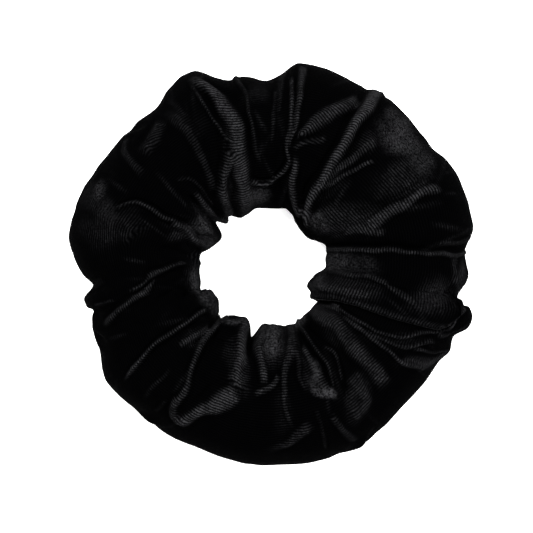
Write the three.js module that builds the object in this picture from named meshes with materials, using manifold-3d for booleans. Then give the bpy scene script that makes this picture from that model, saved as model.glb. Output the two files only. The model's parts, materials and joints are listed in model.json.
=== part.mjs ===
// A gathered velvet hair tie lying flat: a hollow sleeve of cloth shirred over an elastic loop.
// Millimetres, +Z up, the table at Z = 0 and the middle of the ring on the Z axis.
// The ring is laid out in spans that move apart when it is stretched. Span 1 is the sleeve's plain end,
// tucked into the folded cuff that is the last span, and the spans run clockwise from one to the other.
import * as THREE from 'three';
import { mergeVertices } from 'three/addons/utils/BufferGeometryUtils.js';
import Module from 'manifold-3d';

const wasm = await Module();
wasm.setup();

const RAD = Math.PI / 180;

// Ring
const OUTER_R = 57.5;         // mean radius of the outer edge
const HOLE_R = 15.6;          // mean radius of the opening for the hair
const HOLE_X = 1.4;           // the opening lies a little off the middle of the ring
const HOLE_Y = -1.3;
const HEIGHT = 25;            // top of the puffed sleeve above the table
const MID_Z = 11;             // height of the sleeve's widest line
const WALL = 2;               // cloth with its pile and its small folds
const OUTER_LOBES = 12;       // soft scallops round the outer edge
const OUTER_LOBE = 0.7;       // how far they swing each way
const HOLE_LOBES = 10;        // gathers round the opening
const HOLE_LOBE = 0.6;

// Spans and the closure
const SPANS = 10;
const TUCK_ANGLE = -34;       // direction of the first span, which holds the tucked end
const CUFF_ANGLE = -20;       // direction of the last span, which holds the folded cuff
const CUFF_EDGE = -25;        // where the cuff's folded edge lies across the sleeve
const TUCK_TIP = -12;         // how far round the tucked end reaches inside the cuff
const TUCK_CLEAR = 1.9;       // room round the tucked end, so that it can slip as the ring grows
const TUCK_WALL = 1.2;
const STEP = (360 - (CUFF_ANGLE - TUCK_ANGLE)) / (SPANS - 1);
const GAP = 0.2;              // half the gap between two spans

// Elastic: a flat braid, its ends lapped inside the closure
const LOOP_R = 23;
const BRAID_W = 6;
const BRAID_T = 1;
const LAP_RISE = 2.6;         // how far outside the other end the lapped end lies
const LAP_START = -35;
const LAP_END = -11;
const LAP_RAMP = -4;          // where the lapped end has come back to the loop's own radius

// Long seam, turned to the inside of the sleeve
const SEAM_R = 26;
const SEAM_H = 4.5;
const SEAM_T = 1.4;
const SEAM_BITE = 0.5;        // how far the allowance's root is let into the sleeve's wall
const SEAM_RISE = 1.2;        // height of the line of stitches above the wall
const THREAD_R = 0.3;

// Stitching
const CLOSING_ANGLE = -22;    // the line of stitches that closes the cuff
const CLOSING_W = 0.6;
const THREAD_OFF = 0.3;       // gap between a thread and what it lies on
const ZIGZAGS = 4;
const ZIGZAG_MARGIN = 3;      // degrees left unstitched at each end of the lap

// Smoothness
const RING_STEPS = 60;
const OUTER_POINTS = 18;
const INNER_POINTS = 12;
const TUCK_POINTS = 16;
const THREAD_SIDES = 6;
const ZIGZAG_STEPS = 5;
const BRAID_STEP = 5;         // degrees of arc to each flat of the braid

const velvet = { color: 0x0b0b0d, roughness: 0.95, metalness: 0 };
const braid = { color: 0x151516, roughness: 0.8, metalness: 0 };
const thread = { color: 0x101012, roughness: 0.6, metalness: 0 };

function toManifold(geometry) {
  const bare = geometry.clone();
  bare.deleteAttribute('normal');
  bare.deleteAttribute('uv');
  const merged = mergeVertices(bare, 1e-4);
  const solid = new wasm.Mesh({
    numProp: 3,
    vertProperties: new Float32Array(merged.attributes.position.array),
    triVerts: new Uint32Array(merged.index.array),
  });
  return new wasm.Manifold(solid);
}

function toGeometry(manifold) {
  const solid = manifold.getMesh();
  const geometry = new THREE.BufferGeometry();
  geometry.setAttribute('position', new THREE.BufferAttribute(solid.vertProperties, 3));
  geometry.setIndex(new THREE.BufferAttribute(solid.triVerts, 1));
  geometry.computeVertexNormals();
  return geometry;
}

// The ring's opening is off centre and both of its edges are scalloped. Everything is first drawn on
// round rings and then moved in plan by this one rule, so that neighbours stay clear of each other.
function gather(geometry) {
  const position = geometry.attributes.position;
  for (let i = 0; i < position.count; i++) {
    const x = position.getX(i);
    const y = position.getY(i);
    const radius = Math.hypot(x, y);
    const angle = Math.atan2(y, x);
    const out = (radius - HOLE_R) / (OUTER_R - HOLE_R);
    const inner = (1 - out) * Math.abs(1 - out) * HOLE_LOBE * Math.sin(HOLE_LOBES * angle);
    const outer = out * Math.abs(out) * OUTER_LOBE * Math.sin(OUTER_LOBES * angle);
    const grown = radius + inner + outer;
    position.setX(i, grown * Math.cos(angle) + (1 - out) * HOLE_X);
    position.setY(i, grown * Math.sin(angle) + (1 - out) * HOLE_Y);
  }
  return geometry;
}

// A closed profile of radius and height, turned once about the Z axis.
function ring(profile) {
  const closed = [...profile, profile[0]];
  const geometry = new THREE.LatheGeometry(closed, RING_STEPS);
  geometry.rotateX(Math.PI / 2);
  return toManifold(gather(geometry));
}

// The sleeve's section, drawn in by an inset: an oval that stands on a flat.
function sleeveSection(inset, points) {
  const middle = (OUTER_R + HOLE_R) / 2;
  const halfWidth = (OUTER_R - HOLE_R) / 2 - inset;
  const top = HEIGHT - MID_Z - inset;
  const bottom = MID_Z - inset;
  const fullness = 1.2;
  const profile = [];
  for (let i = 0; i < points; i++) {
    const turn = (2 * Math.PI * (i + 0.5)) / points;
    const rise = Math.sin(turn);
    const height = rise > 0 ? top * rise : Math.max(-bottom, fullness * bottom * rise);
    profile.push(new THREE.Vector2(middle + halfWidth * Math.cos(turn), MID_Z + height));
  }
  return profile;
}

function boxSection(radius, height, width, tall) {
  return [
    new THREE.Vector2(radius - width / 2, height),
    new THREE.Vector2(radius + width / 2, height),
    new THREE.Vector2(radius + width / 2, height + tall),
    new THREE.Vector2(radius - width / 2, height + tall),
  ];
}

function roundSection(radius, height, size, points) {
  const profile = [];
  for (let i = 0; i < points; i++) {
    const turn = (2 * Math.PI * i) / points;
    profile.push(new THREE.Vector2(radius + size * Math.cos(turn), height + size * Math.sin(turn)));
  }
  return profile;
}

// Everything between two directions, with half a gap taken off each side.
function wedge(from, to) {
  const reach = 2 * OUTER_R;
  const middle = ((from + to) / 2) * RAD;
  const shape = new THREE.Shape();
  const apex = GAP / Math.sin(((to - from) / 2) * RAD);
  const x = apex * Math.cos(middle);
  const y = apex * Math.sin(middle);
  shape.moveTo(x, y);
  shape.lineTo(x + reach * Math.cos(from * RAD), y + reach * Math.sin(from * RAD));
  shape.lineTo(x + reach * Math.cos(to * RAD), y + reach * Math.sin(to * RAD));
  const geometry = new THREE.ExtrudeGeometry(shape, { depth: 2 * HEIGHT, bevelEnabled: false });
  geometry.translate(0, 0, -HEIGHT / 2);
  return toManifold(geometry);
}

// A length of braid on edge, following a radius that may change along it.
function braidStrip(from, to, radiusAt) {
  const steps = Math.round((to - from) / BRAID_STEP);
  const shape = new THREE.Shape();
  const point = (angle, side) => {
    const radius = radiusAt(angle) + (side * BRAID_T) / 2;
    return [radius * Math.cos(angle * RAD), radius * Math.sin(angle * RAD)];
  };
  shape.moveTo(...point(from, 1));
  for (let i = 1; i <= steps; i++) {
    shape.lineTo(...point(from + ((to - from) * i) / steps, 1));
  }
  for (let i = steps; i >= 0; i--) {
    shape.lineTo(...point(from + ((to - from) * i) / steps, -1));
  }
  const geometry = new THREE.ExtrudeGeometry(shape, { depth: BRAID_W, bevelEnabled: false });
  geometry.translate(0, 0, MID_Z - BRAID_W / 2);
  return gather(geometry);
}

function lapRadius(angle) {
  const rise = THREE.MathUtils.smoothstep(LAP_RAMP - angle, 0, LAP_RAMP - LAP_END);
  return LOOP_R + LAP_RISE * rise;
}

// Stitches to and fro across the lapped ends of the braid.
function zigzagThread() {
  const radius = LOOP_R + LAP_RISE + BRAID_T / 2 + THREAD_OFF + THREAD_R;
  const path = [];
  for (let i = 0; i <= 2 * ZIGZAGS; i++) {
    const along = i / (2 * ZIGZAGS);
    const angle = THREE.MathUtils.lerp(LAP_START + ZIGZAG_MARGIN, LAP_END - ZIGZAG_MARGIN, along) * RAD;
    const height = MID_Z + (i % 2 ? 1 : -1) * (BRAID_W / 2 - 1);
    path.push(new THREE.Vector3(radius * Math.cos(angle), radius * Math.sin(angle), height));
  }
  const section = new THREE.Shape(roundSection(0, 0, THREAD_R, THREAD_SIDES));
  const geometry = new THREE.ExtrudeGeometry(section, {
    steps: ZIGZAG_STEPS * ZIGZAGS,
    extrudePath: new THREE.CatmullRomCurve3(path),
    bevelEnabled: false,
  });
  return gather(geometry);
}

const group = new THREE.Group();

function add(name, geometry, look) {
  const mesh = new THREE.Mesh(geometry, new THREE.MeshStandardMaterial(look));
  mesh.name = name;
  group.add(mesh);
}

const sleeveRing = ring(sleeveSection(0, OUTER_POINTS)).subtract(ring(sleeveSection(WALL, INNER_POINTS)));
const seamRing = ring(boxSection(SEAM_R, WALL - SEAM_BITE, SEAM_T, SEAM_H + SEAM_BITE));
const seamThreadR = SEAM_R + SEAM_T / 2 + THREAD_OFF + THREAD_R;
const seamThreadRing = ring(roundSection(seamThreadR, WALL + SEAM_RISE, THREAD_R, THREAD_SIDES));
const tuckRing = ring(sleeveSection(WALL + TUCK_CLEAR, TUCK_POINTS))
  .subtract(ring(sleeveSection(WALL + TUCK_CLEAR + TUCK_WALL, TUCK_POINTS)));

// The tucked end is the first span's own cloth, necked in where it enters the cuff.
function tuckedEnd() {
  const neck = ring(sleeveSection(0.1, OUTER_POINTS))
    .subtract(ring(sleeveSection(WALL + TUCK_CLEAR + TUCK_WALL, TUCK_POINTS)));
  const collar = neck.intersect(wedge(CUFF_EDGE - 4, CUFF_EDGE));
  return tuckRing.intersect(wedge(CUFF_EDGE - 2, TUCK_TIP)).add(collar);
}

for (let k = 0; k < SPANS; k++) {
  const label = String(k + 1).padStart(2, '0');
  const direction = TUCK_ANGLE - STEP * k;
  const first = k === 0;
  const last = k === SPANS - 1;
  const to = first ? CUFF_EDGE : direction + STEP / 2;
  const from = last ? CUFF_EDGE - 360 : direction - STEP / 2;
  const seamFrom = last ? TUCK_TIP + 2 - 360 : from;
  const seamTo = first ? CUFF_EDGE - 6 : to;
  const cloth = sleeveRing.intersect(wedge(from, to));
  const seamed = cloth.add(seamRing.intersect(wedge(seamFrom, seamTo)));
  add(`sleeve_${label}`, toGeometry(first ? seamed.add(tuckedEnd()) : seamed), velvet);
  const braidFrom = last ? LAP_START - 360 : from + 0.5;
  const braidTo = first ? LAP_END : to - 0.5;
  const radiusAt = last ? (angle) => lapRadius(angle + 360) : () => LOOP_R;
  add(`elastic_${label}`, braidStrip(braidFrom, braidTo, radiusAt), braid);
  add(`seam_thread_${label}`, toGeometry(seamThreadRing.intersect(wedge(seamFrom, seamTo))), thread);
}

// The closing stitches lie over the top of the cuff, from the opening to the outer edge.
function closingThread() {
  const band = ring(sleeveSection(-THREAD_OFF - 2 * THREAD_R, OUTER_POINTS))
    .subtract(ring(sleeveSection(-THREAD_OFF, OUTER_POINTS)));
  const slab = new THREE.BoxGeometry(2 * OUTER_R, CLOSING_W, 2 * HEIGHT);
  slab.translate(OUTER_R, 0, HEIGHT + 1);
  slab.rotateZ(CLOSING_ANGLE * RAD);
  return toGeometry(band.intersect(toManifold(slab)));
}

add('closing_thread', closingThread(), thread);
add('elastic_join_thread', zigzagThread(), thread);

export default group;
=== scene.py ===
import json
import math

import bpy
import numpy as np
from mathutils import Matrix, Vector

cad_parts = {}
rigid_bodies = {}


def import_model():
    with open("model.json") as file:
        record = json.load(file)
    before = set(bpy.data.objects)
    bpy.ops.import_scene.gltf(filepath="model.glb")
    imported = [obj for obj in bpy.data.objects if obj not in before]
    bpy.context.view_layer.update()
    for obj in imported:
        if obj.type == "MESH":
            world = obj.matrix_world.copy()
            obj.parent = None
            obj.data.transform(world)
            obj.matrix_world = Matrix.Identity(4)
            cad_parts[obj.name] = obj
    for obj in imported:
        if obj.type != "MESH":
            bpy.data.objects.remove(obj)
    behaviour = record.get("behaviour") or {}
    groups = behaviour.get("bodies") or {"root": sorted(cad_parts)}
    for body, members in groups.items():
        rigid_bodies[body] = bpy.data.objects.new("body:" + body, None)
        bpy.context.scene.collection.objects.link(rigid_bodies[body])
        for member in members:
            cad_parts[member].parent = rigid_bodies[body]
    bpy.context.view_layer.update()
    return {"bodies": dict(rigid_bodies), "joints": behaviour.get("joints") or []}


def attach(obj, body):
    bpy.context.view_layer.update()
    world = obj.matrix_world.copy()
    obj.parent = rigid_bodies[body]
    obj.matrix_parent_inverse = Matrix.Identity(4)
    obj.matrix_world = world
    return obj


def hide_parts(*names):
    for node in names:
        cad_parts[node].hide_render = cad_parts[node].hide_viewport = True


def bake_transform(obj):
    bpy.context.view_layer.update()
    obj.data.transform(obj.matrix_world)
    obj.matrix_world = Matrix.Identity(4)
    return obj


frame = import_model()
scene = bpy.context.scene

MM = 0.001
random = np.random.default_rng(7)
uniform = random.uniform

# ------ the spans, read from the frame
SPANS = sorted(frame["bodies"])
JOINTS = sorted(frame["joints"], key=lambda joint: joint["child"])
middles = [math.degrees(math.atan2(j["axis"][1], j["axis"][0])) + 90 for j in JOINTS]
middles = np.degrees(np.unwrap(np.radians(middles)))
STEP = (middles[0] - middles[-1]) / (len(middles) - 1)
# Direction of each span, clockwise from the tucked end to the cuff, and unwrapped past a full turn.
START = (middles[0] + STEP / 2 + 180) % 360 - 180
DIRECTIONS = [START - STEP * k for k in range(len(SPANS))]

# ------ the ring's outline, millimetres
HOLE_EDGE = [
    (15.9, 4.6), (15.8, 2), (15.8, -1), (13.8, -3), (12.2, -5.2), (11.6, -7), (12.6, -9), (11.2, -11),
    (9.6, -13), (7.9, -15), (6.2, -17.3), (2.5, -17), (0, -16.8), (-2.6, -17.5), (-4.9, -19.9),
    (-5.6, -17.4), (-7, -15.4), (-9.4, -14.4), (-12.2, -14.5), (-14.3, -15.6), (-14.2, -12.8), (-14.6, -10),
    (-15.8, -7.7), (-17.6, -6.8), (-19.8, -7.9), (-19.6, -5), (-20, -1.5), (-19.4, 0.4), (-19.9, 2.4),
    (-16.8, 4.4), (-14.4, 6.4), (-13.6, 8.4), (-14.9, 11.5), (-12.6, 11.8), (-11.2, 13.4), (-8.6, 13),
    (-6.8, 14.2), (-4.2, 15.5), (0, 15.6), (3.6, 15.3), (6.2, 13.8), (7.2, 11.6), (9.2, 8.8), (11.2, 6.9),
    (13.4, 6.2),
]
OUTER_EDGE = [
    (55.5, 3.6), (56, 0), (56.3, -2.8), (55.3, -5.4), (53.2, -9.3), (55.8, -10.4), (57.7, -14.4),
    (56, -18.2), (51.9, -20.8), (50.8, -25), (47.8, -28.2), (44.6, -33), (40.6, -37.4), (33, -45.2),
    (26.8, -50.9), (20, -53.9), (12, -56.4), (4, -57.1), (-5, -57), (-12, -55.2), (-20, -52.3),
    (-29.6, -48.3), (-37, -42.4), (-45.4, -34.6), (-47.5, -30), (-48.6, -23.6), (-50.7, -18.6),
    (-49.9, -13.4), (-52, -12.2), (-52.9, -9.6), (-50.6, -6.1), (-53.2, -3), (-55.8, 2), (-57.1, 7.4),
    (-56, 13.4), (-52.6, 22), (-46, 31.4), (-38.6, 39.6), (-32.2, 44.4), (-29, 49.4), (-24.6, 53.4),
    (-20.8, 54.8), (-15.4, 53), (-11.6, 52.2), (-9.8, 53.1), (-5.6, 53.2), (-1, 52.1), (3, 53.8),
    (6.4, 56.4), (9, 57.1), (16, 55.4), (25, 51.2), (30.4, 48.6), (32.8, 47.8), (39.8, 41), (45.6, 33.6),
    (50.6, 29.2), (54.8, 22), (57, 13.6), (57.6, 9.6), (56.2, 6.2),
]
# The tube's section: share of the width across, and height.
SECTION = [
    (0, 9.5), (0.015, 13), (0.06, 16.6), (0.15, 19.8), (0.29, 22), (0.45, 23.3), (0.62, 23.6), (0.76, 22.4),
    (0.87, 19.4), (0.95, 14.8), (0.99, 10.6), (1, 7.6), (0.985, 4.6), (0.94, 1.9), (0.85, 0.5), (0.7, 0.15),
    (0.5, 0.1), (0.32, 0.3), (0.17, 1.4), (0.07, 3.4), (0.02, 6.2),
]
NOMINAL_WIDTH = 41
POINTS_ROUND = 208
STEP_ALONG = 0.4  # degrees between two columns

# ------ the closure, on the cuff's side
# The cuff's folded edge: share of the width across and direction, over the top and back underneath.
EDGE_TOP = [
    (0, -37.5), (0.06, -33), (0.18, -26.6), (0.3, -24), (0.42, -23.4), (0.57, -22.6), (0.71, -21.4),
    (0.8, -20.8), (0.84, -20.2), (0.862, -17.4), (0.88, -13.6), (0.925, -10.4), (1, -9.1),
]
EDGE_UNDER = [
    (0.97, -9.4), (0.9, -11.6), (0.8, -15.5), (0.66, -19.5), (0.5, -24), (0.3, -29.5), (0.1, -35),
]
EDGE_ANGLE = -25
EDGE_SHEAR = 34  # degrees over which the columns swing from radial to the cuff's edge
PLAIN_UNTIL = -185  # unwrapped direction up to which the cuff's edge is ahead, and not behind
CUFF_LIFT = 1.2
HEM_ROLL, HEM_ROLL_COLUMNS = 0.8, 8  # radius of the cuff's folded edge
HEM_BACK, HEM_BACK_COLUMNS = 9, 11  # how far the folded-in cloth runs back inside
TUCK_TIP = -12
TUCK_INSET, DRAWN_IN = 3.4, 1.9  # how far the plain end lies in, inside the cuff and at its edge
DIP_REACH = 9  # how far outside the cuff the plain end starts to draw in

# ------ the cloth's small folds and its painted sheen
PLEATS, LOOSE_FOLDS, WRINKLES, DRIFTS = 46, 52, 420, 14
HIGHEST_FOLD = 2.6
LOOSE_END = 81  # distance round past which no loose fold runs
BRAID_LOW, BRAID_HIGH = 5.6, 16.4  # heights between which the hole's wall stays clear of the braid
REST_SOFTNESS = 0.35  # how softly the cloth flattens where it lies on the table
OUTER_FROM, LIGHT_TO = 30, 66  # distances round where the outer side starts and where the light ends


def smooth(t):
    t = np.clip(t, 0, 1)
    return t * t * (3 - 2 * t)


def bell(x):
    return np.exp(-x ** 2)


def turned(direction, centre):
    """The turn from centre to a direction, from -180 to 180 degrees."""
    return (direction - centre + 180) % 360 - 180


def near_columns(direction, centre, reach):
    """Which columns of the grid come within reach of a direction."""
    return (np.abs(turned(direction, centre)) < reach).any(axis=1)


def catmull_rom(a, b, c, d, per_span):
    """Points of the curves from each b to its c, where a is the point before and d the one beyond."""
    t = (np.arange(per_span) / per_span)[None, :, None]
    a, b, c, d = (q[:, None, :] for q in (a, b, c, d))
    curve = 2 * b + (c - a) * t + (2 * a - 5 * b + 4 * c - d) * t ** 2 + (3 * b - a - 3 * c + d) * t ** 3
    return 0.5 * curve.reshape(-1, curve.shape[2])


def closed_curve(points, per_span):
    """A smooth closed curve through points."""
    p = np.array(points, float)
    return catmull_rom(np.roll(p, 1, 0), p, np.roll(p, -1, 0), np.roll(p, -2, 0), per_span)


def open_curve(points, per_span):
    """A smooth curve through points, from the first to the last."""
    p = np.array(points, float)
    p = np.vstack([2 * p[0] - p[1], p, 2 * p[-1] - p[-2]])
    return np.vstack([catmull_rom(p[:-3], p[1:-2], p[2:-1], p[3:], per_span), points[-1]])


def in_plan(radius, direction):
    return radius * np.cos(np.radians(direction)), radius * np.sin(np.radians(direction))


def radius_by_direction(x, y):
    """A function of the direction in degrees that gives a closed outline's radius."""
    angle, radius = np.degrees(np.arctan2(y, x)) % 360, np.hypot(x, y)
    order = np.argsort(angle)
    return lambda degrees: np.interp(np.asarray(degrees) % 360, angle[order], radius[order], period=360)


hole_radius = radius_by_direction(*closed_curve(HOLE_EDGE, 8).T)
outer_radius = radius_by_direction(*closed_curve(OUTER_EDGE, 8).T)


def section_points():
    """(share across, height, distance round) of the section's points, evenly spaced, and its girth."""
    curve = closed_curve(SECTION, 24)
    closed = np.vstack([curve, curve[:1]])
    lengths = np.hypot(np.diff(closed[:, 0]) * NOMINAL_WIDTH, np.diff(closed[:, 1]))
    run = np.concatenate([[0], np.cumsum(lengths)])
    at = np.arange(POINTS_ROUND) * run[-1] / POINTS_ROUND
    return np.interp(at, run, closed[:, 0]), np.interp(at, run, closed[:, 1]), at, run[-1]


ACROSS, HEIGHT, ROUND, GIRTH = section_points()
OUTERMOST = int(np.argmax(ACROSS))
UNDER = GIRTH - 22  # past this, a point counts as below the hole's rim and not as far round
SEAM_V = -16.3  # the long seam, under the ring


# ------ the folds
# Each fold: its points in plan, its half-width and its height, one number or one for each end. The number
# after the height is how far it opens the pile, which the velvet shows as a band of painted sheen along the
# crest, square how far it turns the ribs to stand square to it, sides how deep it dips to its left and right,
# and ends how slowly either end fades.
def pair(value):
    return value if isinstance(value, tuple) else (value, value)


def ridge(points, width, height, opened_and_sheen=0.6, square=0, sides=0.3, ends=1):
    return dict(points=points, width=pair(width), height=pair(height), open=opened_and_sheen, square=square,
                sides=pair(sides), ends=pair(ends), pinched=True)


def crease(points, width, depth):
    start, end = pair(depth)
    return {**ridge(points, width, (-start, -end), 0), "pinched": False}


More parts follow.
